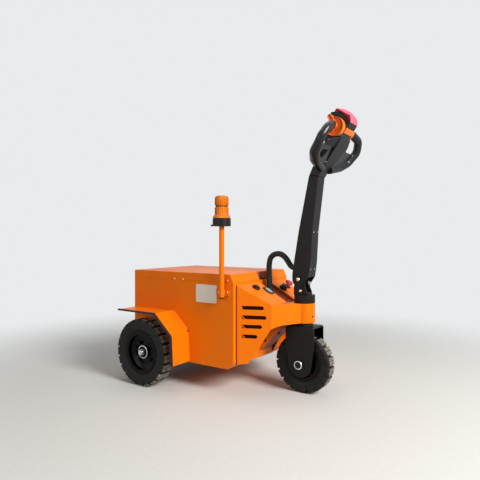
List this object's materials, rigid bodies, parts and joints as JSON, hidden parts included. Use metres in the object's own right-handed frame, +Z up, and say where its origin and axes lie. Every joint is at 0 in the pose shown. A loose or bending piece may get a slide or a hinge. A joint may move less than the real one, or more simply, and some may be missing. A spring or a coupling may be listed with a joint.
{
  "type": "walk-behind electric tow tractor",
  "caption": "Small walk-behind electric tow tractor with a steered single front wheel, folding tiller, sheet-steel battery body, mudguards, beacon and rear tow jaw.",
  "frame": {"origin": "on the floor, under the middle of the whole length, on the machine's centre plane", "axes": "+X forward toward the steered wheel, +Y to the machine's left, +Z up"},
  "size_m": [1.2478, 0.782, 1.3176],
  "materials": {
    "orange_paint": "semi-gloss powder coat",
    "black_paint": "satin powder coat",
    "gloss_black": "gloss",
    "tyre": "matt",
    "edging_rubber": "matt",
    "bright_steel": "bright",
    "cast_black": "painted casting",
    "case_grey": "matt",
    "black_plastic": "fine texture",
    "grip_plastic": "soft touch",
    "orange_plastic": "gloss",
    "red_plastic": "gloss",
    "amber_lens": "translucent look",
    "sleeve": "braided"
  },
  "bodies": {
    "chassis": {"body_tub": "orange_paint", "lid_hinge": "orange_paint", "bow_housing": "orange_paint", "console": "orange_paint", "arch_liner": "orange_paint", "steering_head": "orange_paint", "mudguard_right": "orange_paint", "mudguard_left": "orange_paint", "edging_right": "edging_rubber", "edging_left": "edging_rubber", "battery": "case_grey", "drive_axle": "cast_black", "drive_motor": "cast_black", "beacon_bracket": "orange_paint", "beacon_pole": "orange_paint", "beacon_base": "black_plastic", "beacon_lens": "amber_lens", "push_button": "black_plastic", "battery_meter": "black_plastic", "key_switch": "black_plastic", "stop_button": "red_plastic", "hitch_plate": "black_paint", "hitch_jaw": "black_paint", "hose": "sleeve"},
    "lid": {"lid": "orange_paint"},
    "tow_pin": {"hitch_pin": "bright_steel"},
    "wheel_right": {"tyre_right": "tyre", "rim_right": "gloss_black", "hub_right": "bright_steel"},
    "wheel_left": {"tyre_left": "tyre", "rim_left": "gloss_black", "hub_left": "bright_steel"},
    "steering": {"fork": "black_paint", "swivel_cap": "black_paint", "tiller_lug": "black_paint", "front_axle": "bright_steel"},
    "wheel_front": {"tyre_front": "tyre", "rim_front": "gloss_black"},
    "tiller": {"column": "black_paint", "head_housing": "black_plastic", "grips": "grip_plastic", "throttle": "orange_plastic", "reverse_button": "red_plastic", "horn_button": "orange_plastic"}
  },
  "joints": [
    {"name": "lid_hinge_joint", "type": "hinge", "parent": "chassis", "child": "lid", "pos_m": [-0.52486, 0, 0.525], "axis": [0, -1, 0], "range_deg": [0, 95]},
    {"name": "tow_pin_lift", "type": "slide", "parent": "chassis", "child": "tow_pin", "axis": [0, 0, 1], "range_m": [0, 0.09]},
    {"name": "right_wheel_spin", "type": "hinge", "parent": "chassis", "child": "wheel_right", "pos_m": [-0.33586, -0.3515, 0.165], "axis": [0, 1, 0], "continuous": true},
    {"name": "left_wheel_spin", "type": "hinge", "parent": "chassis", "child": "wheel_left", "pos_m": [-0.33586, 0.3515, 0.165], "axis": [0, 1, 0], "continuous": true},
    {"name": "steering_turn", "type": "hinge", "parent": "chassis", "child": "steering", "pos_m": [0.37714, 0, 0.38], "axis": [0, 0, 1], "range_deg": [-90, 90], "deforming": ["hose"]},
    {"name": "front_wheel_spin", "type": "hinge", "parent": "steering", "child": "wheel_front", "pos_m": [0.37714, 0, 0.141], "axis": [0, 1, 0], "continuous": true},
    {"name": "tiller_fold", "type": "hinge", "parent": "steering", "child": "tiller", "pos_m": [0.36514, 0, 0.537], "axis": [0, 1, 0], "range_deg": [0, 65], "stiffness_Nm_per_rad": 40, "springref_deg": -40.11}
  ]
}
